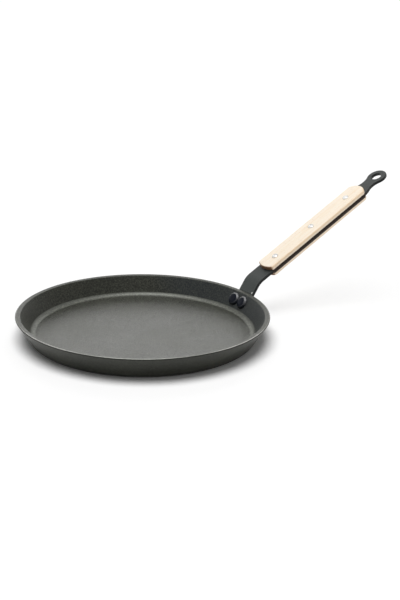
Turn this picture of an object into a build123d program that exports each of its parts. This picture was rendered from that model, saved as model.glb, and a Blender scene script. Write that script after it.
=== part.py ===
from build123d import *
from math import asin, cos, degrees, radians, sin, sqrt, tan
import os

# Crepe pan: cast body, riveted strap handle with a hanging eye, two wood scales
# The origin is on the pan's axis, on the hob. +X runs along the handle and +Z is up

# Cast body
rim_diameter = 260.0
pan_height = 24.4
outer_wall_angle = 57.5
inner_wall_angle = 60.5
rim_land = 4.7
rim_bevel = 1.0
floor_thickness = 4.4
floor_fillet = 6.0
base_edge_bevel = 2.6

# Strap
strap_width = 24.5
strap_thickness = 3.5
strap_edge_bevel = 0.6
foot_length = 22.5
foot_corner_round = 6.0
neck_rise = 15.0
grip_angle = 29.375
bend_radius = 20.0

# Hanging eye, measured along the grip from the scales' far end
shoulder_cover = 9.5
waist_distance = 11.0
eye_distance = 25.5
waist_width = 16.0
eye_diameter = 23.4
eye_hole_diameter = 12.2

# Wood scales, as wide as the strap and measured along the grip from its bend
scale_distance = 17.85
scale_length = 155.0
scale_thickness = 4.6
scale_near_bulge = 3.5
scale_far_bulge = 7.0
scale_corner_round = 3.0
scale_edge_round = 2.2

# Rivets through the scales, placed from the scales' ends
scale_near_inset = 18.5
scale_far_inset = 23.9
scale_rivet_diameter = 7.0
scale_rivet_proud = 0.6

# Rivets through the pan wall, placed from the rim and the strap's long edges
pan_rivet_drop = 13.0
pan_rivet_inset = 4.55
pan_shank_diameter = 6.0
pan_head_gap = 1.0
pan_head_bevel = 2.2
pan_head_edge = 0.9
pan_head_height = 2.9
tail_diameter = 8.4
tail_height = 1.8

# Every cut runs past its far face by this much
overrun = 1.0

# The wall's section has a sharp outer corner at the rim, which the bevel then trims
rim_corner_radius = rim_diameter / 2 + rim_bevel * cos(radians(outer_wall_angle))
mouth_corner_radius = rim_corner_radius - rim_bevel - rim_land
base_corner_radius = rim_corner_radius - pan_height / tan(radians(outer_wall_angle))
floor_corner_radius = mouth_corner_radius - (pan_height - floor_thickness) / tan(radians(inner_wall_angle))

# The strap's foot beds into the round wall until its whole width is in contact
wall_curve_depth = rim_corner_radius - sqrt(rim_corner_radius**2 - (strap_width / 2) ** 2)
foot_bed = wall_curve_depth * sin(radians(outer_wall_angle))

# The foot plane lies on the wall under the rim's corner: x runs up the wall, z points into the pan
wall_up = (cos(radians(outer_wall_angle)), 0, sin(radians(outer_wall_angle)))
wall_inward = (-sin(radians(outer_wall_angle)), 0, cos(radians(outer_wall_angle)))
wall_plane = Plane(origin=(rim_corner_radius, 0, pan_height), x_dir=wall_up, z_dir=wall_inward)
foot_plane = wall_plane.offset(foot_bed - strap_thickness / 2)

# The grip plane is the strap's middle: x runs along the handle from the bend, z points up
bend_point = foot_plane.from_local_coords((neck_rise, 0, 0))
grip_along = (cos(radians(grip_angle)), 0, sin(radians(grip_angle)))
grip_up = (-sin(radians(grip_angle)), 0, cos(radians(grip_angle)))
grip_plane = Plane(origin=bend_point, x_dir=grip_along, z_dir=grip_up)
grip_down_plane = Plane(origin=bend_point, x_dir=grip_along, z_dir=-grip_plane.z_dir)

# The wall is thinner where the pan rivets pass than at its mouth
mouth_width = rim_corner_radius - mouth_corner_radius
mouth_drop = mouth_width * cos(radians(outer_wall_angle))
wall_taper = tan(radians(inner_wall_angle - outer_wall_angle))
wall_at_rivet = mouth_width * sin(radians(outer_wall_angle)) - (pan_rivet_drop - mouth_drop) * wall_taper

# Rivet places: the two pan rivets stand square on the round wall, so each is turned about the pan's axis
scale_end = scale_distance + scale_length
first_rivet_x = scale_distance + scale_near_inset
last_rivet_x = scale_end - scale_far_inset
rivet_xs = [first_rivet_x, (first_rivet_x + last_rivet_x) / 2, last_rivet_x]
pan_rivet_pitch = strap_width - 2 * pan_rivet_inset
pan_head_diameter = pan_rivet_pitch - pan_head_gap
rivet_wall_radius = rim_corner_radius - pan_rivet_drop * cos(radians(outer_wall_angle))
rivet_turn = degrees(asin(pan_rivet_pitch / 2 / rivet_wall_radius))
pan_rivet_turns = {"left": rivet_turn, "right": -rivet_turn}


def turned(plane, turn):
    """The plane turned about the pan's axis."""
    return Plane(Rot(0, 0, turn) * plane.location)


def side_of(plane, x):
    """The plane through a rivet's axis at x: its own x is the rivet's radius, its y the rivet's axis."""
    spot = plane.from_local_coords((x, 0, 0))
    return Plane(origin=spot, x_dir=plane.x_dir, z_dir=-plane.y_dir)


# The pan's outer form without its hollow, for seating the strap
with BuildPart() as pan_blank:
    with BuildSketch(Plane.XZ):
        with BuildLine():
            Polyline(
                (0, 0),
                (base_corner_radius, 0),
                (rim_corner_radius, pan_height),
                (0, pan_height),
                close=True,
            )
        make_face()
    revolve(axis=Axis.Z)

# The hollow, for bedding the rivet heads on the inner wall
with BuildPart() as pan_hollow:
    with BuildSketch(Plane.XZ):
        with BuildLine():
            Polyline(
                (0, floor_thickness),
                (floor_corner_radius, floor_thickness),
                (mouth_corner_radius, pan_height),
                (0, pan_height),
                close=True,
            )
        make_face()
    revolve(axis=Axis.Z)

# Cast body: tapered wall, flat land and bevel on the rim, bevelled base edge, two rivet holes
with BuildPart() as pan_body:
    with BuildSketch(Plane.XZ) as wall_section:
        with BuildLine():
            Polyline(
                (0, 0),
                (base_corner_radius, 0),
                (rim_corner_radius, pan_height),
                (mouth_corner_radius, pan_height),
                (floor_corner_radius, floor_thickness),
                (0, floor_thickness),
                close=True,
            )
        make_face()
        for treatment, corner, size in (
            (chamfer, (rim_corner_radius, pan_height), rim_bevel),
            (chamfer, (base_corner_radius, 0), base_edge_bevel),
            (fillet, (floor_corner_radius, floor_thickness), floor_fillet),
        ):
            treatment(wall_section.vertices().sort_by_distance(corner)[0], size)
    revolve(axis=Axis.Z)
    for turn in pan_rivet_turns.values():
        with Locations(turned(wall_plane, turn)):
            with Locations((-pan_rivet_drop, 0)):
                Hole(pan_shank_diameter / 2, depth=wall_at_rivet + overrun)

# Strap: a bar bent once, its foot dished to the wall, its far end waisted before a round eye
waist_half = waist_width / 2
eye_radius = eye_diameter / 2
strap_half = strap_width / 2
shoulder_x = scale_end - shoulder_cover
waist_x = scale_end + waist_distance
eye_x = scale_end + eye_distance
eye_run = eye_x - waist_x
shoulder_run = waist_x - shoulder_x
shoulder_drop = strap_half - waist_half
waist_radius = (eye_run**2 + waist_half**2 - eye_radius**2) / (2 * (eye_radius - waist_half))
shoulder_radius = (shoulder_run**2 + shoulder_drop**2) / (2 * shoulder_drop) - waist_radius
waist_centre_y = waist_half + waist_radius
shoulder_share = waist_radius / (waist_radius + shoulder_radius)
eye_share = eye_radius / (eye_radius + waist_radius)
shoulder_end = Vector(
    waist_x - shoulder_share * shoulder_run,
    waist_centre_y - shoulder_share * (waist_centre_y - strap_half + shoulder_radius),
)
eye_start = Vector(eye_x - eye_share * eye_run, eye_share * waist_centre_y)
shoulder_tangent = Vector(1, 0)

with BuildPart() as handle_strap:
    foot_end = foot_plane.from_local_coords((-foot_length, 0, 0))
    shoulder_start = grip_plane.from_local_coords((shoulder_x, 0, 0))
    with BuildSketch(Plane.XZ):
        with BuildLine():
            FilletPolyline(
                (foot_end.X, foot_end.Z),
                (bend_point.X, bend_point.Z),
                (shoulder_start.X, shoulder_start.Z),
                radius=bend_radius,
            )
        trace(line_width=strap_thickness)
    extrude(amount=strap_half, both=True)
    with BuildSketch(grip_plane.offset(-strap_thickness / 2)):
        with BuildLine():
            top_shoulder = TangentArc((shoulder_x, strap_half), shoulder_end, tangent=shoulder_tangent)
            top_waist = TangentArc(shoulder_end, eye_start, tangent=top_shoulder % 1)
            eye_edge = ThreePointArc(eye_start, (eye_x + eye_radius, 0), (eye_start.X, -eye_start.Y))
            mirror(top_waist, about=Plane.XZ)
            mirror(top_shoulder, about=Plane.XZ)
            Line((shoulder_x, strap_half), (shoulder_x, -strap_half))
        make_face()
    extrude(amount=strap_thickness)
    through_edges = handle_strap.edges().filter_by(Axis((0, 0, 0), wall_inward))
    fillet(through_edges.sort_by(Axis.Z)[:2], foot_corner_round)

    # Bevel every edge but the short ones through the bar and the tangent lines across its bend
    through_edges = handle_strap.edges().filter_by(Axis((0, 0, 0), wall_inward))
    through_edges += handle_strap.edges().filter_by(Axis((0, 0, 0), grip_up))
    bend_lines = handle_strap.edges().filter_by(Axis.Y).sort_by(Axis.Z)[2:]
    chamfer(handle_strap.edges() - through_edges - bend_lines, strap_edge_bevel)

    add(pan_blank, mode=Mode.SUBTRACT)
    for turn in pan_rivet_turns.values():
        with Locations(turned(foot_plane, turn)):
            with Locations((-pan_rivet_drop, 0)):
                Hole(pan_shank_diameter / 2, depth=strap_thickness)
    with Locations(grip_plane):
        with Locations((eye_x, 0)):
            Hole(eye_hole_diameter / 2, depth=strap_thickness)
        with Locations([(x, 0) for x in rivet_xs]):
            Hole(scale_rivet_diameter / 2, depth=strap_thickness)


def make_scale(plane):
    """One wood scale on the given face of the strap: bulging ends, rounded top edge, three holes."""
    with BuildPart() as scale:
        with BuildSketch(plane) as outline:
            with BuildLine():
                near_corner = scale_distance + scale_near_bulge
                far_corner = scale_end - scale_far_bulge
                Line((near_corner, strap_half), (far_corner, strap_half))
                ThreePointArc((far_corner, strap_half), (scale_end, 0), (far_corner, -strap_half))
                Line((far_corner, -strap_half), (near_corner, -strap_half))
                ThreePointArc((near_corner, -strap_half), (scale_distance, 0), (near_corner, strap_half))
            make_face()
            fillet(outline.vertices(), scale_corner_round)
        extrude(amount=scale_thickness)
        fillet(scale.faces().sort_by(Axis(plane.origin, plane.z_dir))[-1].edges(), scale_edge_round)
        with Locations(plane):
            with Locations([(x, 0) for x in rivet_xs]):
                Hole(scale_rivet_diameter / 2, depth=scale_thickness + overrun)
    return scale


upper_face = grip_plane.offset(strap_thickness / 2)
lower_face = grip_down_plane.offset(strap_thickness / 2)


def make_scale_rivet(x):
    """A straight rivet through both scales and the strap, its ends just proud of the wood."""
    reach = strap_thickness / 2 + scale_thickness + scale_rivet_proud
    with BuildPart() as rivet:
        with BuildSketch(grip_plane):
            with Locations((x, 0)):
                Circle(scale_rivet_diameter / 2)
        extrude(amount=reach, both=True)
    return rivet


def make_pan_rivet(turn):
    """A rivet through the strap's foot and the wall: wide raised head inside, formed tail outside."""
    side = side_of(turned(foot_plane, turn), -pan_rivet_drop)
    rivet_axis = Axis(side.origin, side.y_dir)
    shank = pan_shank_diameter / 2
    head = pan_head_diameter / 2
    tail = tail_diameter / 2

    # The head grows out of the inner wall's surface, so its underside takes the wall's curve
    seat = strap_thickness / 2 - foot_bed + wall_at_rivet
    with BuildPart() as inner_head:
        with BuildSketch(side):
            with BuildLine():
                Polyline(
                    (0, 0),
                    (head, 0),
                    (head, seat + pan_head_edge),
                    (head - pan_head_bevel, seat + pan_head_height),
                    (0, seat + pan_head_height),
                    close=True,
                )
            make_face()
        revolve(axis=rivet_axis)
        add(pan_hollow, mode=Mode.INTERSECT)

    # The tail is formed flat against the strap's outer face
    face = strap_thickness / 2 + rivet_wall_radius * (1 - cos(radians(turn))) * sin(radians(outer_wall_angle))
    with BuildPart() as outer_tail:
        with BuildSketch(side):
            with BuildLine():
                Polyline(
                    (0, 0),
                    (tail, 0),
                    (tail, -face - tail_height),
                    (0, -face - tail_height),
                    close=True,
                )
            make_face()
        revolve(axis=rivet_axis)
        split(bisect_by=foot_plane.offset(-strap_thickness / 2), keep=Keep.BOTTOM)

    with BuildPart() as rivet:
        with BuildSketch(side):
            with Locations((shank / 2, (seat + pan_head_edge - face - tail_height) / 2)):
                Rectangle(shank, seat + pan_head_edge + face + tail_height)
        revolve(axis=rivet_axis)
        add(inner_head)
        add(outer_tail)
    return rivet


pieces = {
    "pan_body": pan_body,
    "handle_strap": handle_strap,
    "upper_scale": make_scale(upper_face),
    "lower_scale": make_scale(lower_face),
}
for place, x in zip(("front", "middle", "rear"), rivet_xs):
    pieces[f"{place}_scale_rivet"] = make_scale_rivet(x)
for place, turn in pan_rivet_turns.items():
    pieces[f"{place}_pan_rivet"] = make_pan_rivet(turn)

os.makedirs("parts", exist_ok=True)
for name, piece in pieces.items():
    piece.part.label = name
    export_step(piece.part, f"parts/{name}.step")
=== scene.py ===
"""Looks of the crepe pan: finishes, detail pieces, floor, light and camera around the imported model."""
import bpy
import math
from mathutils import Matrix, Vector
from mathutils.geometry import tessellate_polygon


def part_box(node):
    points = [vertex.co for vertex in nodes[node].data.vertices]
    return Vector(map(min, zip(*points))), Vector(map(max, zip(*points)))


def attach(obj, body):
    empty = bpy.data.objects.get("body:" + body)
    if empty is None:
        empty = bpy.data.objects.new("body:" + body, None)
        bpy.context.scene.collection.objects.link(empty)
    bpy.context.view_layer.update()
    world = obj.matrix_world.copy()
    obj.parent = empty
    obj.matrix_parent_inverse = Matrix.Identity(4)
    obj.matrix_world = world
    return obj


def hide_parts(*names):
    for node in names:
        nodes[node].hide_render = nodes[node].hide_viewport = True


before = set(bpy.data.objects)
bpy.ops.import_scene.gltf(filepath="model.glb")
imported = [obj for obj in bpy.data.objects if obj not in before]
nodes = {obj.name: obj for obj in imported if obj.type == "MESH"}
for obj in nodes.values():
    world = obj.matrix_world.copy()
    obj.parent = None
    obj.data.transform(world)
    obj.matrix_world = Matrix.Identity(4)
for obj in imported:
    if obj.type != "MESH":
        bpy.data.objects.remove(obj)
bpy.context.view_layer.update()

MM = 0.001

# Camera, fitted to the photograph: a 600 px tall frame with its centre as principal point. It is set out
# with the handle turned by HANDLE_TURN, so that it stands straight in front of the pan
CAMERA_DISTANCE = 1.037
CAMERA_ELEVATION = math.radians(20.744)
CAMERA_YAW = math.radians(3.413)
CAMERA_PITCH = math.radians(-1.971)
CAMERA_ROLL = math.radians(1.322)
HANDLE_TURN = math.radians(30.66)
FOCAL_PIXELS = 1000.0
FRAME_HEIGHT_PIXELS = 600.0
SENSOR_MM = 36.0

# Pan, in millimetres: the solid's sizes, and the rounds and the dished land that the solid lacks
PAN_HEIGHT = 24.4
OUTER_ANGLE = math.radians(57.5)
INNER_ANGLE = math.radians(60.5)
RIM_CORNER_RADIUS = 130.537
RIM_BEVEL = 1.0
RIM_LAND = 4.7
RIM_ROUND = 0.3
MOUTH_ROUND = 1.4
LAND_DISH = 0.5
LAND_EDGE_WIDTH = 0.75
LAND_EDGE_DROP = 0.36
LAND_EDGE_START = 0.05
FLOOR_THICKNESS = 4.4
FLOOR_FILLET = 6.0
BASE_EDGE = 2.6

# How far each of the pan's finishes reaches, in millimetres
UNDERSIDE_HEIGHT = 0.02
OUTSIDE_DEPTH = 1.6
RIM_EDGE_DEPTH = 1.1
LAND_DEPTH = 0.3
RING_HEIGHT = 3.0
RING_FOOT = 0.01

# Pan rivets, in millimetres: heights are measured along the rivet from the pan's outer wall
RIVET_DROP = 13.0
RIVET_TURN = math.radians(3.573)
WALL_AT_RIVET = 4.286
HEAD_RADIUS = 7.2
HEAD_HEIGHT = 2.9
HEAD_SINK = 0.6
SHOULDER_OUTER_INSET = 0.2
SHOULDER_INNER_INSET = 2.4
SHOULDER_FOOT = 0.9
SHANK_RADIUS = 3.0
TAIL_RADIUS = 4.2
TAIL_FACE = -3.217
TAIL_HEIGHT = 1.8
TAIL_SEAT = 0.4
CRISP_ROUND = 0.05

# Their corners as (inset from the edge, height, round): the head's heights are above the wall,
# the dome's above the tail's end and the tail edge's above the tail's face on the strap
HEAD_CORNERS = (
    (0.0, 0.5, 0.35),
    (1.1, 2.1, 2.2),
    (4.2, HEAD_HEIGHT, 6.0),
)
TAIL_DOME = (0.9, 0.1, 1.6)
TAIL_EDGE = (0.0, 0.6, 0.4)

# Grip: its slope, and where the bend and the scales are along it, in millimetres
GRIP_ANGLE = math.radians(29.375)
BEND_POINT = (139.663, 0.0, 36.372)
STRAP_HALF_THICKNESS = 1.75
SCALE_START = 17.85
SCALE_END = 172.85
SCALE_HALF_WIDTH = 12.25
SCALE_THICKNESS = 4.6
SCALE_NEAR_BULGE = 3.5
SCALE_FAR_BULGE = 7.0
SCALE_CORNER = 3.0
SCALE_EDGE = 1.5
SCALE_ARRIS = 0.3
RIVET_INSETS = (18.5, 74.8, 131.1)
HOLE_CLEARANCE = 0.12
HOLE_CHAMFER = 0.3

# Scale rivets, in millimetres: one end's corners as (inset from the edge, height over the end, round)
SCALE_RIVET_REACH = 6.95
SCALE_RIVET_RADIUS = 3.5
SCALE_RIVET_CORNERS = (
    (0.0, -0.75, 0.1),
    (0.1, 0.0, 0.4),
    (1.0, 0.0, 0.2),
    (1.25, -0.5, 0.12),
    (1.75, -0.15, 0.4),
)

# Fineness of the meshes
PAN_SEGMENTS = 288
PAN_LONGEST_RUN = 6.0
RIVET_SEGMENTS = 72
ROUND_STEPS = 8
SCALE_RIVET_ROUND_STEPS = 5
SCALE_CORNER_STEPS = 8
SCALE_END_STEPS = 20
SCALE_EDGE_STEPS = 8
HOLE_SEGMENTS = 40
ON_AXIS = 1e-6


def make_camera():
    """The camera stands in front of the pan, turned a little off its axis."""
    elevation, pitch, yaw = CAMERA_ELEVATION, CAMERA_PITCH, CAMERA_YAW
    place = Vector((0, -CAMERA_DISTANCE * math.cos(elevation), CAMERA_DISTANCE * math.sin(elevation)))
    tilt = elevation + pitch
    ahead = Vector((math.sin(yaw) * math.cos(tilt), math.cos(yaw) * math.cos(tilt), -math.sin(tilt)))
    right = ahead.cross(Vector((0, 0, 1))).normalized()
    up = right.cross(ahead)
    rolled_right = right * math.cos(CAMERA_ROLL) + up * math.sin(CAMERA_ROLL)
    rolled_up = up * math.cos(CAMERA_ROLL) - right * math.sin(CAMERA_ROLL)
    pose = Matrix((rolled_right, rolled_up, -ahead)).transposed().to_4x4()
    pose.translation = place
    data = bpy.data.cameras.new("camera")
    data.sensor_width = SENSOR_MM
    data.lens = FOCAL_PIXELS / FRAME_HEIGHT_PIXELS * SENSOR_MM
    camera = bpy.data.objects.new("camera", data)
    camera.matrix_world = Matrix.Rotation(-HANDLE_TURN, 4, "Z") @ pose
    bpy.context.scene.collection.objects.link(camera)
    bpy.context.scene.camera = camera


# Shapes

def rounded_profile(corners, steps=ROUND_STEPS):
    """Points and normals along a run of (x, y, radius) corners, each corner turned into an arc."""
    points = [Vector((x, y)) for x, y, _ in corners]
    outline = []
    for i, (_, _, radius) in enumerate(corners):
        here = points[i]
        if i == 0 or i == len(corners) - 1:
            other = points[1] if i == 0 else points[-2]
            along = (other - here if i == 0 else here - other).normalized()
            outline.append((here, Vector((along.y, -along.x))))
            continue
        before = (here - points[i - 1]).normalized()
        after = (points[i + 1] - here).normalized()
        turn = before.angle_signed(after)
        reach = radius * math.tan(abs(turn) / 2)
        side = 1 if turn < 0 else -1
        start = here - before * reach
        inward = Vector((-before.y, before.x)) * side
        centre = start + inward * radius
        for step in range(steps + 1):
            angle = -turn * step / steps
            arm = Matrix.Rotation(angle, 2) @ (-inward)
            outline.append((centre + arm * radius, arm * side))
    return outline


def with_stops(outline, spacing):
    """The same outline with extra points so that no run is longer than the spacing."""
    filled = [outline[0]]
    for (point, normal), (last, _) in zip(outline[1:], outline[:-1]):
        runs = max(1, math.ceil((point - last).length / spacing))
        for step in range(1, runs):
            filled.append((last.lerp(point, step / runs), normal))
        filled.append((point, normal))
    return filled


def make_piece(name, points, normals, faces, place):
    """A smooth mesh object from millimetre points and their normals, put in its place."""
    mesh = bpy.data.meshes.new(name)
    mesh.from_pydata([place @ (point * MM) for point in points], [], faces)
    mesh.polygons.foreach_set("use_smooth", [True] * len(faces))
    turn = place.to_3x3()
    mesh.normals_split_custom_set_from_vertices([(turn @ normal).normalized() for normal in normals])
    mesh.update()
    piece = bpy.data.objects.new(name, mesh)
    bpy.context.scene.collection.objects.link(piece)
    return piece


def lathe(name, outline, segments, place, slots_of=None):
    """A closed turned piece: the outline's x is the radius and its y the height along the axis."""
    points, normals, faces, slots, rows = [], [], [], [], []
    for point, normal in outline:
        if point.x < ON_AXIS:
            rows.append([len(points)])
            points.append(Vector((0, 0, point.y)))
            normals.append(Vector((0, 0, math.copysign(1, normal.y))))
            continue
        rows.append(list(range(len(points), len(points) + segments)))
        for k in range(segments):
            across, beside = math.cos(math.tau * k / segments), math.sin(math.tau * k / segments)
            points.append(Vector((point.x * across, point.x * beside, point.y)))
            normals.append(Vector((normal.x * across, normal.x * beside, normal.y)))
    for i in range(len(rows) - 1):
        low, high = rows[i], rows[i + 1]
        middle = (outline[i][0] + outline[i + 1][0]) / 2
        for k in range(segments):
            j = (k + 1) % segments
            if len(low) == 1:
                face = (low[0], high[j], high[k])
            elif len(high) == 1:
                face = (low[k], low[j], high[0])
            else:
                face = (low[k], low[j], high[j], high[k])
            faces.append(face)
            slots.append(slots_of(middle) if slots_of else 0)
    piece = make_piece(name, points, normals, faces, place)
    piece.data.polygons.foreach_set("material_index", slots)
    return piece


def rivet_corners(radius, level, corners):
    """The corners of a rivet's end as (radius, height, round), from their insets and heights over a level."""
    return [(radius - inset, level + height, curve) for inset, height, curve in corners]


def wall_place(turn):
    """The frame of a pan rivet: on the outer wall, turned about the pan's axis, its z along the rivet."""
    up = Vector((math.cos(OUTER_ANGLE), 0, math.sin(OUTER_ANGLE)))
    inward = Vector((-math.sin(OUTER_ANGLE), 0, math.cos(OUTER_ANGLE)))
    place = Matrix((up, inward.cross(up), inward)).transposed().to_4x4()
    place.translation = (Vector((RIM_CORNER_RADIUS, 0, PAN_HEIGHT)) - up * RIVET_DROP) * MM
    return Matrix.Rotation(turn, 4, "Z") @ place


def grip_place(centre):
    """A frame on the grip with its z square to the grip's face."""
    along = Vector((math.cos(GRIP_ANGLE), 0, math.sin(GRIP_ANGLE)))
    up = Vector((-math.sin(GRIP_ANGLE), 0, math.cos(GRIP_ANGLE)))
    place = Matrix((along, up.cross(along), up)).transposed().to_4x4()
    place.translation = centre
    return place


def arc(centre, radius, start, end, steps):
    """Points and outward normals along an arc."""
    run = []
    for step in range(steps + 1):
        angle = start + (end - start) * step / steps
        normal = Vector((math.cos(angle), math.sin(angle)))
        run.append((Vector(centre) + normal * radius, normal))
    return run


def scale_outline():
    """The scale's outline along and across the grip: straight sides, bulging ends, round corners."""
    half, corner = SCALE_HALF_WIDTH, SCALE_CORNER
    outline = []
    for end, bulge, sign in ((SCALE_END, SCALE_FAR_BULGE, 1), (SCALE_START, SCALE_NEAR_BULGE, -1)):
        radius = (half**2 + bulge**2) / (2 * bulge)
        middle = end - sign * radius
        corner_x = math.sqrt((radius - corner) ** 2 - (half - corner) ** 2)
        meet = math.atan2(half - corner, corner_x)
        turn = 0 if sign > 0 else math.pi
        low = (middle + sign * corner_x, -sign * (half - corner))
        high = (middle + sign * corner_x, sign * (half - corner))
        outline += arc(low, corner, turn - math.pi / 2, turn - meet, SCALE_CORNER_STEPS)
        outline += arc((middle, 0), radius, turn - meet, turn + meet, SCALE_END_STEPS)[1:-1]
        outline += arc(high, corner, turn + meet, turn + math.pi / 2, SCALE_CORNER_STEPS)
    return outline


class Patches:
    """Faces of one piece collected with their vertices' normals."""

    def __init__(self):
        self.points, self.normals, self.faces = [], [], []

    def ring(self, spots):
        """Adds (point, normal) pairs and returns their numbers."""
        first = len(self.points)
        for point, normal in spots:
            self.points.append(point)
            self.normals.append(normal)
        return list(range(first, len(self.points)))

    def band(self, low, high):
        """Joins two rings with quads."""
        for i in range(len(low)):
            j = (i + 1) % len(low)
            self.faces.append((low[i], low[j], high[j], high[i]))

    def cap(self, outer, holes, upward):
        """Fills a flat ring around its holes."""
        loops = [[self.points[i] for i in loop] for loop in [outer] + holes]
        numbers = [i for loop in [outer] + holes for i in loop]
        for a, b, c in tessellate_polygon(loops):
            face = [numbers[a], numbers[b], numbers[c]]
            p, q, r = (self.points[i] for i in face)
            if ((q - p).cross(r - p).z > 0) != upward:
                face.reverse()
            self.faces.append(tuple(face))

    def build(self, name, place, flip=False):
        """The piece, put in its place; flip mirrors it across its own z."""
        mirror = Vector((1, 1, -1)) if flip else Vector((1, 1, 1))
        points = [point * mirror for point in self.points]
        normals = [normal * mirror for normal in self.normals]
        faces = [tuple(reversed(face)) for face in self.faces] if flip else self.faces
        return make_piece(name, points, normals, faces, place)


def hole_spots(circle, height, rise, spread):
    """A hole's circle at a height, its normals leaning up and towards the hole's axis by the given shares."""
    spots = []
    for point, outward in circle:
        normal = Vector((-outward.x * spread, -outward.y * spread, rise)).normalized()
        spots.append((Vector((point.x, point.y, height)), normal))
    return spots


def scale_patches():
    """A wood scale above the strap's middle plane, with eased edges and holes for its rivets."""
    outline = scale_outline()
    patches = Patches()
    foot, top = STRAP_HALF_THICKNESS, STRAP_HALF_THICKNESS + SCALE_THICKNESS
    levels = [
        (SCALE_ARRIS, foot, -math.pi / 4),
        (0, foot + SCALE_ARRIS, 0),
        (0, foot + SCALE_THICKNESS / 2, 0),
    ]
    for step in range(SCALE_EDGE_STEPS + 1):
        angle = math.pi / 2 * step / SCALE_EDGE_STEPS
        levels.append((SCALE_EDGE * (1 - math.cos(angle)), top - SCALE_EDGE * (1 - math.sin(angle)), angle))
    rings = []
    for inset, height, angle in levels:
        spots = []
        for point, normal in outline:
            flat = point - normal * inset
            lean = normal * math.cos(angle)
            spots.append((Vector((flat.x, flat.y, height)), Vector((lean.x, lean.y, math.sin(angle)))))
        rings.append(patches.ring(spots))
    for low, high in zip(rings, rings[1:]):
        patches.band(low, high)
    down = Vector((0, 0, -1))
    patches.cap(patches.ring([(patches.points[i], down) for i in rings[0]]), [], False)
    holes = []
    radius = SCALE_RIVET_RADIUS + HOLE_CLEARANCE
    for inset in RIVET_INSETS:
        centre = (SCALE_START + inset, 0)
        mouth = arc(centre, radius + HOLE_CHAMFER, math.tau, 0, HOLE_SEGMENTS)[:-1]
        wall = arc(centre, radius, math.tau, 0, HOLE_SEGMENTS)[:-1]
        holes.append(patches.ring(hole_spots(mouth, top, 1, 0)))
        bevel = patches.ring(hole_spots(mouth, top, 1, 1))
        neck = patches.ring(hole_spots(wall, top - HOLE_CHAMFER, 1, 1))
        rim = patches.ring(hole_spots(wall, top - HOLE_CHAMFER, 0, 1))
        deep = patches.ring(hole_spots(wall, foot, 0, 1))
        patches.band(neck, bevel)
        patches.band(deep, rim)
    patches.cap(rings[-1], holes, True)
    return patches


# Materials

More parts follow.
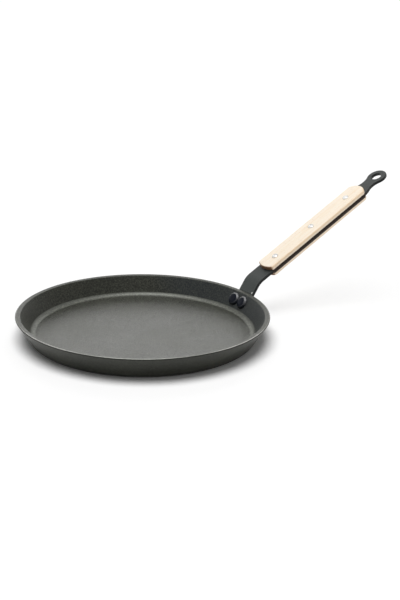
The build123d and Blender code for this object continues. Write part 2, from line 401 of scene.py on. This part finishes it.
class Finish:
    """A node material with short calls for the nodes that the finishes share."""

    def __init__(self, name):
        self.material = bpy.data.materials.new(name)
        self.material.use_nodes = True
        self.tree = self.material.node_tree
        self.shader = self.tree.nodes["Principled BSDF"]
        coordinates = self.add("ShaderNodeTexCoord")
        self.here = coordinates.outputs["Object"]
        self.facing = coordinates.outputs["Normal"]

    def add(self, kind, **settings):
        node = self.tree.nodes.new(kind)
        for key, value in settings.items():
            setattr(node, key, value)
        return node

    def link(self, value, socket):
        """Feeds a socket from another one, or with a plain value."""
        if isinstance(value, bpy.types.NodeSocket):
            self.tree.links.new(value, socket)
        else:
            socket.default_value = value

    def math(self, operation, a, b=0.0):
        node = self.add("ShaderNodeMath", operation=operation)
        self.link(a, node.inputs[0])
        self.link(b, node.inputs[1])
        return node.outputs[0]

    def product(self, first, *others):
        for other in others:
            first = self.math("MULTIPLY", first, other)
        return first

    def total(self, first, *others):
        for other in others:
            first = self.math("ADD", first, other)
        return first

    def vector(self, operation, a, b=(0.0, 0.0, 0.0)):
        node = self.add("ShaderNodeVectorMath", operation=operation)
        self.link(a, node.inputs[0])
        self.link(b, node.inputs[1])
        return node.outputs["Value" if operation in ("LENGTH", "DISTANCE", "DOT_PRODUCT") else "Vector"]

    def split(self, vector):
        node = self.add("ShaderNodeSeparateXYZ")
        self.link(vector, node.inputs[0])
        return node.outputs

    def stretch(self, vector, scale):
        return self.vector("MULTIPLY", vector, scale)

    def noise(self, where, scale, detail=3.0, roughness=0.55):
        node = self.add("ShaderNodeTexNoise")
        self.link(where, node.inputs["Vector"])
        node.inputs["Scale"].default_value = scale
        node.inputs["Detail"].default_value = detail
        node.inputs["Roughness"].default_value = roughness
        return node.outputs[0]

    def flakes(self, where, scale, edge, choice):
        """Scattered flecks: the middles of the cells that the choice picks by their random tint."""
        node = self.add("ShaderNodeTexVoronoi")
        self.link(where, node.inputs["Vector"])
        node.inputs["Scale"].default_value = scale
        middle = self.ramp(node.outputs["Distance"], *edge, 1.0, 0.0)
        return self.product(middle, self.ramp(self.split(node.outputs["Color"])[0], *choice))

    def ramp(self, value, low, high, start=0.0, end=1.0):
        """The value's range low to high, spread smoothly over start to end."""
        node = self.add("ShaderNodeMapRange", interpolation_type="SMOOTHSTEP")
        for key, number in (("From Min", low), ("From Max", high), ("To Min", start), ("To Max", end)):
            node.inputs[key].default_value = number
        self.link(value, node.inputs["Value"])
        return node.outputs[0]

    def near(self, spot, inner, outer):
        """1 at a spot given in metres, falling to 0 between the two distances from it."""
        return self.ramp(self.vector("DISTANCE", self.here, spot), inner, outer, 1.0, 0.0)

    def mix(self, share, a, b):
        """Colour a, turned into colour b by the share. The node's colour sockets are known by number only."""
        node = self.add("ShaderNodeMix", data_type="RGBA")
        self.link(share, node.inputs["Factor"])
        for value, socket in ((a, node.inputs[6]), (b, node.inputs[7])):
            self.link((*value, 1) if isinstance(value, tuple) else value, socket)
        return node.outputs[2]

    def bump(self, height, distance):
        node = self.add("ShaderNodeBump")
        node.inputs["Strength"].default_value = 1.0
        node.inputs["Distance"].default_value = distance
        self.link(height, node.inputs["Height"])
        return node.outputs[0]

    def set(self, **inputs):
        """Feeds the shader's inputs, in whose names an underscore stands for a space."""
        for key, value in inputs.items():
            socket = self.shader.inputs[key.replace("_", " ")]
            if isinstance(value, tuple) and len(value) == 3 and socket.type == "RGBA":
                value = (*value, 1)
            self.link(value, socket)

    def grip_coordinates(self):
        """Metres along the grip from its bend, across it and above its middle plane."""
        mapping = self.add("ShaderNodeMapping", vector_type="TEXTURE")
        self.link(self.here, mapping.inputs["Vector"])
        mapping.inputs["Location"].default_value = [v * MM for v in BEND_POINT]
        mapping.inputs["Rotation"].default_value = (0, -GRIP_ANGLE, 0)
        return mapping.outputs[0]


# A band is a (low, high) range for Finish.ramp, at times with the (start, end) values it is spread over.
# FLOOR_MARK, RIM_NICK and STRAP_GLINT are (place, inner, outer) for Finish.near. Lengths are in metres
NOISE_BAND = (0.3, 0.7)
LEVEL_PLANE = (1.0, 1.0, 0.0)
HIGHLIGHT_PALE = (0.62, 0.61, 0.58)

COATING_DARK = (0.014, 0.0145, 0.0115)
COATING_LIGHT = (0.105, 0.109, 0.086)
COATING_TINT = (0.97, 1.0, 0.92)
COATING_IOR = 1.42
COATING_GRAIN = {"scale": 1100, "detail": 2.0, "roughness": 0.6}
COATING_FINE = {"scale": 2600, "detail": 1.0}
COATING_MOTTLE = {"scale": 560, "detail": 1.5, "roughness": 0.6}
COATING_CLOUD = {"scale": 16, "detail": 4.0}
COATING_FLAKES = {"scale": 620, "edge": (0.12, 0.34), "choice": (0.72, 0.9)}
GRAIN_LIGHT_BAND = (0.46, 0.7)
GRAIN_LIGHT_SHARE = 0.4
MOTTLE_LIGHT_BAND = (0.4, 0.66)
MOTTLE_LIGHT_SHARE = 0.3
FLAKE_LIGHT_SHARE = 0.6
CLOUD_LIGHT_BAND = (0.35, 0.7, -0.03, 0.06)
GRAIN_ROUGHNESS_DROP = 0.06
GRAIN_ROUGHNESS_RISE = 0.08
CLOUD_ROUGHNESS_BAND = (*NOISE_BAND, -0.03, 0.03)
GRAIN_HEIGHT = 0.7
FINE_HEIGHT = 0.3
MOTTLE_HEIGHT = 1.6
MARK_DEPTH = 3.0
PEBBLE_DEPTH = 0.00012

# Where the coating carries a painted highlight or painted light, and where it is marked
RING_INNER_BAND = (0.1085, 0.1112)
RING_OUTER_BAND = (0.1128, 0.1148, 1.0, 0.0)
RING_HIGHLIGHT_BAND = (0.4, 0.6, -0.15, 0.3)
# The land edge's painted highlight: a pale patch on the pan's side towards the camera, at this bearing
HIGHLIGHT_BEARING = math.radians(239.3)
HIGHLIGHT_SIDE = (math.cos(HIGHLIGHT_BEARING), math.sin(HIGHLIGHT_BEARING), 0.0)
HIGHLIGHT_START_BAND = (0.3, 0.55)
HIGHLIGHT_FRONT_BAND = (0.8, 0.94, 2.2, 0.3)
HIGHLIGHT_MOTTLE_BAND = (0.3, 0.6)
HIGHLIGHT_MOTTLE_LEAST = 0.5
# Painted light on the wall's handle side: where it starts, and the lighter blue-grey it turns to
HANDLE_SIDE_LIGHT_BAND = (0.065, 0.1)
HANDLE_SIDE_LIGHT_GREY = (0.026, 0.034, 0.048)
FLOOR_MARK = ((0.0415, -0.028, 0.0044), 0.0006, 0.0013)
RIM_NICK = ((-0.0802, -0.1016, 0.0243), 0.0005, 0.0012)
MARK_COLOR = (0.004, 0.004, 0.004)


def finish_coating(name, roughness, speckle=1.0, ior=COATING_IOR, painted_light_scale=1.0, ring=False, painted_highlight=0.0, handle_side_light=0.0):
    """Sprayed non-stick coating: dark, finely speckled and pebbled, with a soft sheen.

    A mottled lighter band round the floor's fillet is a painted highlight. A share paints the front of an
    edge pale, towards the camera, as a painted highlight. Another paints the wall lighter and bluer on the
    handle's side, as painted light. A factor scales the colours as painted shade or highlight.
    """
    f = Finish(name)
    grain = f.noise(f.here, **COATING_GRAIN)
    fine = f.noise(f.here, **COATING_FINE)
    mottle = f.noise(f.here, **COATING_MOTTLE)
    cloud = f.noise(f.here, **COATING_CLOUD)
    share = f.total(
        f.product(f.ramp(grain, *GRAIN_LIGHT_BAND), GRAIN_LIGHT_SHARE * speckle),
        f.product(f.ramp(mottle, *MOTTLE_LIGHT_BAND), MOTTLE_LIGHT_SHARE * speckle),
        f.product(f.flakes(f.here, **COATING_FLAKES), FLAKE_LIGHT_SHARE * speckle),
        f.ramp(cloud, *CLOUD_LIGHT_BAND),
    )
    # Painted highlight: a mottled lighter band on the floor's fillet
    if ring:
        radius = f.vector("LENGTH", f.vector("MULTIPLY", f.here, LEVEL_PLANE))
        highlight_zone = f.product(f.ramp(radius, *RING_INNER_BAND), f.ramp(radius, *RING_OUTER_BAND))
        share = f.total(share, f.product(highlight_zone, f.ramp(mottle, *RING_HIGHLIGHT_BAND)))
    # The coating's colours are scaled here: a factor below 1 is painted shade, above 1 a painted highlight
    dark = tuple(v * painted_light_scale for v in COATING_DARK)
    light = tuple(v * painted_light_scale for v in COATING_LIGHT)
    color = f.mix(share, dark, light)
    mark = f.math("MAXIMUM", f.near(*FLOOR_MARK), f.near(*RIM_NICK))
    color = f.mix(mark, color, MARK_COLOR)
    # Painted light: the wall is painted lighter and bluer on the handle's side
    if handle_side_light:
        color = f.mix(f.ramp(f.split(f.here)[0], *HANDLE_SIDE_LIGHT_BAND, 0.0, handle_side_light), color, HANDLE_SIDE_LIGHT_GREY)
    # Painted highlight: the edge's front, towards the camera, is painted pale and mottled
    if painted_highlight:
        outward = f.vector("NORMALIZE", f.vector("MULTIPLY", f.here, LEVEL_PLANE))
        forward = f.vector("DOT_PRODUCT", outward, HIGHLIGHT_SIDE)
        highlight_zone = f.product(f.ramp(forward, *HIGHLIGHT_START_BAND), f.ramp(forward, *HIGHLIGHT_FRONT_BAND))
        highlight_mottle = f.ramp(mottle, *HIGHLIGHT_MOTTLE_BAND, HIGHLIGHT_MOTTLE_LEAST * painted_highlight, painted_highlight)
        color = f.mix(f.product(highlight_zone, highlight_mottle), color, HIGHLIGHT_PALE)
    rough = f.total(
        f.ramp(grain, *NOISE_BAND, roughness - GRAIN_ROUGHNESS_DROP, roughness + GRAIN_ROUGHNESS_RISE),
        f.ramp(cloud, *CLOUD_ROUGHNESS_BAND),
    )
    height = f.total(
        f.product(grain, GRAIN_HEIGHT),
        f.product(fine, FINE_HEIGHT),
        f.product(mottle, MOTTLE_HEIGHT),
    )
    pebbles = f.bump(f.math("SUBTRACT", height, f.product(mark, MARK_DEPTH)), PEBBLE_DEPTH * speckle)
    f.set(Base_Color=color, Roughness=rough, IOR=ior, Normal=pebbles, Specular_Tint=COATING_TINT)
    return f.material


STRAP_DARK = (0.017, 0.0195, 0.0185)
STRAP_LIGHT = (0.027, 0.0295, 0.0285)
STRAP_FLECK = (0.07, 0.075, 0.073)
STRAP_NECK_LIGHT = (0.11, 0.122, 0.117)
STRAP_EDGE_SHADE = (0.002, 0.0018, 0.0016)
STRAP_GROOVE_SHADE = (0.012, 0.0035, 0.0003)
STRAP_TINT = (0.94, 1.0, 0.98)
STRAP_IOR = 1.3
STRAP_CLOUD = {"scale": 55, "detail": 4.0}
STRAP_GRAIN = {"scale": 1800, "detail": 2.0}
STRAP_FLECK_BAND = (0.55, 0.75, 0.0, 0.3)
STRAP_NECK_LIGHT_BAND = (-0.014, 0.018, 0.4, 0.04)
STRAP_EDGE_SHADE_BAND = (0.5, 0.8)
UNDER_WOOD_START_BAND = (0.019, 0.021)
UNDER_WOOD_END_BAND = (0.169, 0.171, 1.0, 0.0)
STRAP_SIDE_BAND = (0.0114, 0.0118)
STRAP_CLOUD_ROUGHNESS_BAND = (*NOISE_BAND, 0.34, 0.44)
STRAP_GRAIN_ROUGHNESS_BAND = (*NOISE_BAND, -0.04, 0.04)
STRAP_GRAIN_DEPTH = 0.00004
STRAP_GLINT = ((0.1308, -0.0102, 0.0256), 0.0007, 0.0013)


def finish_strap():
    """Satin dark grey enamel on steel, with painted light on the neck, painted shade on its sides and between
    the scales, and a painted glint at the rim.
    """
    f = Finish("strap_finish")
    cloud = f.noise(f.here, **STRAP_CLOUD)
    grain = f.noise(f.here, **STRAP_GRAIN)
    color = f.mix(f.ramp(cloud, *NOISE_BAND), STRAP_DARK, STRAP_LIGHT)
    color = f.mix(f.ramp(grain, *STRAP_FLECK_BAND), color, STRAP_FLECK)
    along, across, _ = f.split(f.grip_coordinates())
    # Painted light: the neck by the bend is painted lighter
    color = f.mix(f.ramp(along, *STRAP_NECK_LIGHT_BAND), color, STRAP_NECK_LIGHT)
    # Painted shade: the strap's sides are painted near black
    sideways = f.math("ABSOLUTE", f.split(f.facing)[1])
    color = f.mix(f.ramp(sideways, *STRAP_EDGE_SHADE_BAND), color, STRAP_EDGE_SHADE)
    # Painted shade: brown-black on the strap's sides under the wood, between the scales
    under_wood = f.product(f.ramp(along, *UNDER_WOOD_START_BAND), f.ramp(along, *UNDER_WOOD_END_BAND))
    groove_shade = f.product(under_wood, f.ramp(f.math("ABSOLUTE", across), *STRAP_SIDE_BAND))
    color = f.mix(groove_shade, color, STRAP_GROOVE_SHADE)
    # Painted glint: a small pale spot on the strap just above the rim
    color = f.mix(f.near(*STRAP_GLINT), color, HIGHLIGHT_PALE)
    rough = f.total(f.ramp(cloud, *STRAP_CLOUD_ROUGHNESS_BAND), f.ramp(grain, *STRAP_GRAIN_ROUGHNESS_BAND))
    relief = f.bump(grain, STRAP_GRAIN_DEPTH)
    f.set(Base_Color=color, Roughness=rough, IOR=STRAP_IOR, Normal=relief, Specular_Tint=STRAP_TINT)
    return f.material


WOOD_PALE = (0.93, 0.825, 0.685)
WOOD_STREAK = (0.88, 0.7, 0.5)
WOOD_FLECK = (0.6, 0.4, 0.24)
WOOD_SIDE = (0.98, 0.8, 0.61)
WOOD_SIDE_SHADE = (0.92, 0.7, 0.47)
WOOD_GAP_SHADE = (0.03, 0.015, 0.005)
WOOD_END_GRAIN_AND_SHADE = (0.27, 0.13, 0.06)

# A stretch is a noise's scale along, across and above the grip
WOOD_WAVER = {"scale": 14, "detail": 2.0}
WOOD_WAVER_REACH = (0.0, 0.004, 0.004)
STREAK_STRETCH = (14, 330, 330)
STREAK_NOISE = {"scale": 1.0, "detail": 4.0, "roughness": 0.6}
STREAK_BAND = (0.45, 0.72, 0.0, 0.6)
PATCH_STRETCH = (40, 150, 150)
PATCH_NOISE = {"scale": 1.0, "detail": 3.0}
PATCH_BAND = (0.52, 0.75, 0.0, 0.45)
FIBRE_STRETCH = (160, 3200, 3200)
FIBRE_NOISE = {"scale": 1.0, "detail": 2.0}
FIBRE_BAND = (0.5, 0.75, 0.0, 0.2)
FLECK_STRETCH = (330, 1300, 1300)
WOOD_FLECKS = {"scale": 1.0, "edge": (0.12, 0.4), "choice": (0.72, 0.85)}
WOOD_FLECK_SHARE = 0.5
WOOD_SIDE_BAND = (0.55, 0.97, 1.0, 0.0)
WOOD_SIDE_SHARE = 0.8
SIDE_SHADE_BAND = (0.0036, 0.0046)
SIDE_SHADE_STREAK_BAND = (*NOISE_BAND, 0.6, 1.0)
GAP_SHADE_START_BAND = (-0.0031, -0.0027)
GAP_SHADE_END_BAND = (-0.001, 0.0, 1.0, 0.0)
END_GRAIN_SHADE_REACH_BAND = ((SCALE_START + 3.8) * MM, (SCALE_START + 4.8) * MM, 1.0, 0.0)
END_GRAIN_SHADE_FACING_BAND = (0.45, 0.85)
END_GRAIN_SHADE_NOISE = {"scale": 420, "detail": 3.0}
END_GRAIN_SHADE_NOISE_BAND = (0.25, 0.5, 0.75, 1.0)
WOOD_ROUGHNESS_BAND = (*NOISE_BAND, 0.5, 0.62)
WOOD_FLECK_DEPTH = 0.8
WOOD_RELIEF = 0.00006


def finish_wood():
    """Smooth pale beech: long soft streaks and short fine flecks; warmer sides partly painted light, and
    painted shade along the upper scale's side, between the scales and on the near ends' darker end grain.
    """
    f = Finish("wood_finish")
    where = f.grip_coordinates()
    along, _, above = f.split(where)
    waver = f.noise(where, **WOOD_WAVER)
    wavy = f.vector("ADD", where, f.stretch(waver, WOOD_WAVER_REACH))
    streak = f.noise(f.stretch(wavy, STREAK_STRETCH), **STREAK_NOISE)
    patch = f.noise(f.stretch(wavy, PATCH_STRETCH), **PATCH_NOISE)
    fibre = f.noise(f.stretch(where, FIBRE_STRETCH), **FIBRE_NOISE)
    fleck = f.flakes(f.stretch(where, FLECK_STRETCH), **WOOD_FLECKS)
    color = f.mix(f.ramp(streak, *STREAK_BAND), WOOD_PALE, WOOD_STREAK)
    color = f.mix(f.ramp(patch, *PATCH_BAND), color, WOOD_STREAK)
    color = f.mix(f.product(fleck, WOOD_FLECK_SHARE), color, WOOD_FLECK)
    color = f.mix(f.ramp(fibre, *FIBRE_BAND), color, WOOD_STREAK)

    # The sides are warmer, partly their grain's own tone and partly painted light; the upper scale's side is
    # darker near its top, as painted shade
    square_to_grip = (-math.sin(GRIP_ANGLE), 0, math.cos(GRIP_ANGLE))
    upright = f.math("ABSOLUTE", f.vector("DOT_PRODUCT", f.facing, square_to_grip))
    side = f.ramp(upright, *WOOD_SIDE_BAND)
    color = f.mix(f.product(side, WOOD_SIDE_SHARE), color, WOOD_SIDE)
    # Painted shade along the top of the upper scale's side, mottled along the streaks
    side_shade = f.product(side, f.ramp(above, *SIDE_SHADE_BAND), f.ramp(streak, *SIDE_SHADE_STREAK_BAND))
    color = f.mix(side_shade, color, WOOD_SIDE_SHADE)

    # The lower scale is painted dark next to the strap, as painted shade between the scales, and the near
    # ends' end grain is darker, partly its own tone and partly painted shade
    gap_shade = f.product(f.ramp(above, *GAP_SHADE_START_BAND), f.ramp(above, *GAP_SHADE_END_BAND))
    color = f.mix(gap_shade, color, WOOD_GAP_SHADE)
    back_along_grip = (-math.cos(GRIP_ANGLE), 0, -math.sin(GRIP_ANGLE))
    backward = f.vector("DOT_PRODUCT", f.facing, back_along_grip)
    end_grain_and_shade = f.product(
        f.ramp(along, *END_GRAIN_SHADE_REACH_BAND),
        f.ramp(backward, *END_GRAIN_SHADE_FACING_BAND),
        f.ramp(f.noise(where, **END_GRAIN_SHADE_NOISE), *END_GRAIN_SHADE_NOISE_BAND),
    )
    color = f.mix(end_grain_and_shade, color, WOOD_END_GRAIN_AND_SHADE)
    rough = f.ramp(streak, *WOOD_ROUGHNESS_BAND)
    relief = f.bump(f.math("SUBTRACT", fibre, f.product(fleck, WOOD_FLECK_DEPTH)), WOOD_RELIEF)
    f.set(Base_Color=color, Roughness=rough, Normal=relief)
    return f.material


RIVET_BRIGHT = (0.66, 0.66, 0.65)
RIVET_DULL = (0.48, 0.48, 0.47)
BARE_CLOUD = {"scale": 700, "detail": 3.0}
BARE_CLOUD_BAND = (0.35, 0.7)
SCRATCH_STRETCH = (900, 5200, 900)
SCRATCH_NOISE = {"scale": 1.0, "detail": 2.0}
SCRATCH_ROUGHNESS_BAND = (*NOISE_BAND, 0.26, 0.42)
SCRATCH_DEPTH = 0.00003


def finish_bare_rivet():
    """Satin aluminium, a little cloudy and finely scratched."""
    f = Finish("scale_rivet_finish")
    cloud = f.noise(f.here, **BARE_CLOUD)
    scratch = f.noise(f.stretch(f.here, SCRATCH_STRETCH), **SCRATCH_NOISE)
    color = f.mix(f.ramp(cloud, *BARE_CLOUD_BAND), RIVET_BRIGHT, RIVET_DULL)
    rough = f.ramp(scratch, *SCRATCH_ROUGHNESS_BAND)
    f.set(Base_Color=color, Metallic=1.0, Roughness=rough, Normal=f.bump(scratch, SCRATCH_DEPTH))
    return f.material


BLUE_BLACK = (0.003, 0.005, 0.011)
BLUE_GREY = (0.007, 0.01, 0.018)
HIGHLIGHT_GREY = (0.3, 0.3, 0.3)
DARK_CLOUD = {"scale": 160, "detail": 3.0}
PEEL = {"scale": 700, "detail": 2.0}
UPPER_HALF_BAND = (0.0162, 0.0197)
PEEL_HIGHLIGHT_BAND = (0.3, 0.6)
PEEL_HIGHLIGHT_LEAST = 0.3
PEEL_ROUGHNESS_BAND = (*NOISE_BAND, 0.14, 0.24)
PEEL_DEPTH = 0.00004


def finish_dark_rivet(name, painted_highlight, ior):
    """Glossy blue-black coating with faint orange peel; by a given share its upper half is painted paler, as
    a painted highlight.
    """
    f = Finish(name)
    cloud = f.noise(f.here, **DARK_CLOUD)
    peel = f.noise(f.here, **PEEL)
    color = f.mix(f.ramp(cloud, *NOISE_BAND), BLUE_BLACK, BLUE_GREY)
    # Painted highlight: the head's upper half is painted paler
    upper = f.ramp(f.split(f.here)[2], *UPPER_HALF_BAND)
    highlight_mottle = f.ramp(peel, *PEEL_HIGHLIGHT_BAND, PEEL_HIGHLIGHT_LEAST * painted_highlight, painted_highlight)
    color = f.mix(f.product(upper, highlight_mottle), color, HIGHLIGHT_GREY)
    rough = f.ramp(peel, *PEEL_ROUGHNESS_BAND)
    f.set(Base_Color=color, Roughness=rough, IOR=ior, Normal=f.bump(peel, PEEL_DEPTH))
    return f.material


make_camera()

# Pan: turned from its section, with small rounds where the solid has bevels
lean_out = 1 / math.tan(OUTER_ANGLE)
lean_in = 1 / math.tan(INNER_ANGLE)
base_radius = RIM_CORNER_RADIUS - PAN_HEIGHT * lean_out
land_radius = RIM_CORNER_RADIUS - RIM_BEVEL
mouth_radius = land_radius - RIM_LAND
floor_radius = mouth_radius - (PAN_HEIGHT - FLOOR_THICKNESS) * lean_in
base_round = BASE_EDGE / math.tan(OUTER_ANGLE / 2)
rim_side = (
    RIM_CORNER_RADIUS - RIM_BEVEL * math.cos(OUTER_ANGLE),
    PAN_HEIGHT - RIM_BEVEL * math.sin(OUTER_ANGLE),
)
pan_corners = [
    (0, 0, 0),
    (base_radius, 0, base_round),
    (*rim_side, RIM_ROUND),
    (land_radius - LAND_EDGE_START, PAN_HEIGHT - LAND_EDGE_DROP, RIM_ROUND),
    (land_radius - LAND_EDGE_WIDTH, PAN_HEIGHT, RIM_ROUND),
    (mouth_radius, PAN_HEIGHT - LAND_DISH, MOUTH_ROUND),
    (floor_radius, FLOOR_THICKNESS, FLOOR_FILLET),
    (0, FLOOR_THICKNESS, 0),
]
INSIDE, LAND, OUTSIDE, UNDERSIDE, RIM_EDGE, WALL, RING, LAND_EDGE = range(8)


def pan_slot(middle):
    """Which of the pan's materials a band of its section takes."""
    if middle.y < UNDERSIDE_HEIGHT:
        return UNDERSIDE
    outside_limit = base_radius + middle.y * lean_out - OUTSIDE_DEPTH
    if middle.x > outside_limit and middle.y < PAN_HEIGHT - LAND_EDGE_DROP:
        return RIM_EDGE if middle.y > PAN_HEIGHT - RIM_EDGE_DEPTH else OUTSIDE
    if middle.x > land_radius - LAND_EDGE_WIDTH - LAND_EDGE_START and middle.y > FLOOR_THICKNESS:
        return LAND_EDGE
    if middle.y > PAN_HEIGHT - LAND_DISH - LAND_DEPTH:
        return LAND
    if middle.y > FLOOR_THICKNESS + RING_HEIGHT:
        return WALL
    return RING if middle.y > FLOOR_THICKNESS + RING_FOOT else INSIDE


pan_outline = with_stops(rounded_profile(pan_corners), PAN_LONGEST_RUN)
pan = lathe("pan", pan_outline, PAN_SEGMENTS, Matrix.Identity(4), pan_slot)
for material in (
    finish_coating("inside_coating", roughness=0.3, ior=1.3),
    finish_coating("land_coating", roughness=0.42, speckle=0.8, ior=1.3),
    finish_coating("outside_coating", roughness=0.42, speckle=0.5, ior=1.48),
    finish_coating("underside_coating", roughness=0.5, speckle=0.6),
    # Painted shade: the rim's outer edge is darkened to a dark line
    finish_coating("rim_edge_coating", roughness=0.5, speckle=0.4, ior=1.15, painted_light_scale=0.3),
    # Painted shade: the wall a little darker; painted light on its handle side
    finish_coating("wall_coating", roughness=0.4, ior=1.27, painted_light_scale=0.85, handle_side_light=0.3),
    # The ring's lighter mottled band is a painted highlight
    finish_coating("ring_coating", roughness=0.46, ior=1.66, ring=True),
    # Painted highlight: the land's edge is lighter, and painted pale at its front
    finish_coating("land_edge_coating", roughness=0.34, speckle=0.5, ior=1.9, painted_light_scale=1.5, painted_highlight=0.3),
):
    pan.data.materials.append(material)
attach(pan, "root")
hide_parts("pan_body")

# Pan rivets: domed heads inside, low tails outside. The tail's edge lies higher than its seat, so that
# its round folds back and leaves a ring groove beside the edge
head_foot = WALL_AT_RIVET - HEAD_SINK
tail_end = TAIL_FACE - TAIL_HEIGHT
pan_rivet_corners = [
    (0, tail_end, 0),
    *rivet_corners(TAIL_RADIUS, tail_end, [TAIL_DOME]),
    *rivet_corners(TAIL_RADIUS, TAIL_FACE, [TAIL_EDGE]),
    (TAIL_RADIUS, TAIL_FACE + TAIL_SEAT, CRISP_ROUND),
    (SHANK_RADIUS, TAIL_FACE + TAIL_SEAT, CRISP_ROUND),
    (SHANK_RADIUS, head_foot, CRISP_ROUND),
    (HEAD_RADIUS, head_foot, CRISP_ROUND),
    *rivet_corners(HEAD_RADIUS, WALL_AT_RIVET, HEAD_CORNERS),
    (0, WALL_AT_RIVET + HEAD_HEIGHT, 0),
]
dark_rivet = finish_dark_rivet("pan_rivet_finish", painted_highlight=0.0, ior=1.18)
# The shoulder's upper half carries a painted highlight
shoulder_highlight_rivet = finish_dark_rivet("pan_rivet_shoulder_finish", painted_highlight=0.58, ior=1.45)


def pan_rivet_slot(middle):
    """1 on the shoulder of the head, whose upper half carries a painted highlight, 0 elsewhere."""
    on_shoulder = HEAD_RADIUS - SHOULDER_INNER_INSET < middle.x < HEAD_RADIUS - SHOULDER_OUTER_INSET
    return int(on_shoulder and middle.y > WALL_AT_RIVET + SHOULDER_FOOT)


pan_rivet_outline = rounded_profile(pan_rivet_corners)
for side, turn in (("left", RIVET_TURN), ("right", -RIVET_TURN)):
    name, place = f"{side}_pan_rivet_head", wall_place(turn)
    piece = lathe(name, pan_rivet_outline, RIVET_SEGMENTS, place, pan_rivet_slot)
    piece.data.materials.append(dark_rivet)
    piece.data.materials.append(shoulder_highlight_rivet)
    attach(piece, "root")
    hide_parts(f"{side}_pan_rivet")

# Scale rivets: at both ends a rounded rim, a shallow ring groove and a low crown
half_rivet = rivet_corners(SCALE_RIVET_RADIUS, SCALE_RIVET_REACH, SCALE_RIVET_CORNERS)
scale_rivet_corners = [(0, -SCALE_RIVET_REACH, 0)]
scale_rivet_corners += [(radius, -height, curve) for radius, height, curve in reversed(half_rivet)]
scale_rivet_corners += half_rivet + [(0, SCALE_RIVET_REACH, 0)]
scale_rivet_outline = rounded_profile(scale_rivet_corners, SCALE_RIVET_ROUND_STEPS)
bare_rivet = finish_bare_rivet()
for place in ("front", "middle", "rear"):
    low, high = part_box(f"{place}_scale_rivet")
    piece = lathe(f"{place}_rivet", scale_rivet_outline, RIVET_SEGMENTS, grip_place((low + high) / 2))
    piece.data.materials.append(bare_rivet)
    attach(piece, "root")
    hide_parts(f"{place}_scale_rivet")

# Scales: one shape, mirrored for the lower one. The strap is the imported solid
wood = finish_wood()
patches = scale_patches()
for name, flip in (("upper_scale", False), ("lower_scale", True)):
    piece = patches.build(f"{name}_wood", grip_place(Vector(BEND_POINT) * MM), flip)
    piece.data.materials.append(wood)
    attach(piece, "root")
    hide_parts(name)
nodes["handle_strap"].data.materials.clear()
nodes["handle_strap"].data.materials.append(finish_strap())

# Floor: white paper, which stays white far from the object. For the camera it is brightened by a share
# in a strip under the handle, so that the handle's shadow is as faint as in the photograph
FLOOR_SIZE = 60
PAPER_COLOR = (0.97, 0.97, 0.97)
PAPER_ROUGHNESS = 0.9
BLACK = (0.0, 0.0, 0.0)
WHITE = (1.0, 1.0, 1.0)
HANDLE_SHADOW_FADE = 0.72
STRIP_START_BAND = (0.118, 0.14)
STRIP_SIDE_BAND = (0.07, 0.13, HANDLE_SHADOW_FADE, 0.0)
bpy.ops.mesh.primitive_plane_add(size=FLOOR_SIZE, location=(0, 0, 0))
floor = bpy.context.object
floor.name = "floor"
paper = Finish("floor_paper")
along_handle, beside_handle, _ = paper.split(paper.here)
faded = paper.product(
    paper.ramp(along_handle, *STRIP_START_BAND),
    paper.ramp(paper.math("ABSOLUTE", beside_handle), *STRIP_SIDE_BAND),
    paper.add("ShaderNodeLightPath").outputs["Is Camera Ray"],
)
paper.set(
    Base_Color=paper.mix(faded, PAPER_COLOR, BLACK),
    Roughness=PAPER_ROUGHNESS,
    Specular_IOR_Level=0.0,
    Emission_Color=WHITE,
    Emission_Strength=faded,
)
floor.data.materials.append(paper.material)

# Light: an even white room, which is plain white to the camera and in reflections, and three soft suns.
# Each sun is (name, strength, angular width, bearing, height), its angles in degrees and its bearing
# counter-clockwise from the camera's right
WORLD_STRENGTH = 0.17
WORLD_SEEN_STRENGTH = 1.0
LIGHTS = (
    ("overhead", 2.6, 47.0, 201.0, 84.3),
    ("behind", 0.6, 46.0, 88.0, 18.0),
    ("right", 0.14, 90.0, 325.0, 35.0),
)
world = bpy.data.worlds.new("studio")
bpy.context.scene.world = world
world.use_nodes = True
tree = world.node_tree
background = tree.nodes["Background"]
background.inputs["Color"].default_value = (*WHITE, 1)
path = tree.nodes.new("ShaderNodeLightPath")
seen = path.outputs["Is Camera Ray"]
for ray in ("Is Glossy Ray", "Is Transmission Ray"):
    either = tree.nodes.new("ShaderNodeMath")
    either.operation = "MAXIMUM"
    tree.links.new(seen, either.inputs[0])
    tree.links.new(path.outputs[ray], either.inputs[1])
    seen = either.outputs[0]
strength = tree.nodes.new("ShaderNodeMapRange")
tree.links.new(seen, strength.inputs["Value"])
strength.inputs["To Min"].default_value = WORLD_STRENGTH
strength.inputs["To Max"].default_value = WORLD_SEEN_STRENGTH
tree.links.new(strength.outputs[0], background.inputs["Strength"])

for name, energy, width, bearing, height in LIGHTS:
    lamp = bpy.data.lights.new(name, "SUN")
    lamp.energy = energy
    lamp.angle = math.radians(width)
    light = bpy.data.objects.new(name, lamp)
    turn = math.radians(bearing) - HANDLE_TURN
    rise = math.radians(height)
    toward = Vector((math.cos(turn) * math.cos(rise), math.sin(turn) * math.cos(rise), math.sin(rise)))
    light.rotation_euler = toward.to_track_quat("Z", "Y").to_euler()
    bpy.context.scene.collection.objects.link(light)

bpy.context.scene.view_settings.view_transform = "Standard"
